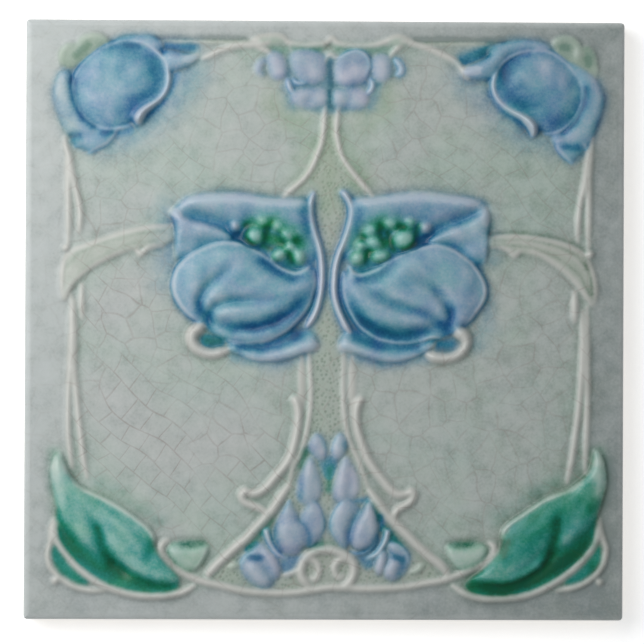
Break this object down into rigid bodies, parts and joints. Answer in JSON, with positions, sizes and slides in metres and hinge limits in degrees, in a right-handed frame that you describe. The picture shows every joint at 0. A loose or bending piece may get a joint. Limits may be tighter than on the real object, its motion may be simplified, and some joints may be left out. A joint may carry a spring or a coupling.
{
  "type": "art nouveau tile",
  "caption": "Square glazed wall tile with moulded flowers, leaves and stems in low relief inside a plain border, keyed on the back.",
  "frame": {"origin": "middle of the back, on the plane that beds on the wall", "axes": "+Z out of the glazed face, +Y towards the top of the pattern, +X to the right as the face is seen"},
  "size_m": [0.1524, 0.1524, 0.0121],
  "materials": {
    "glaze": "clear crazed glaze, gloss"
  },
  "bodies": {
    "root": {"tile": "glaze"}
  },
  "joints": []
}
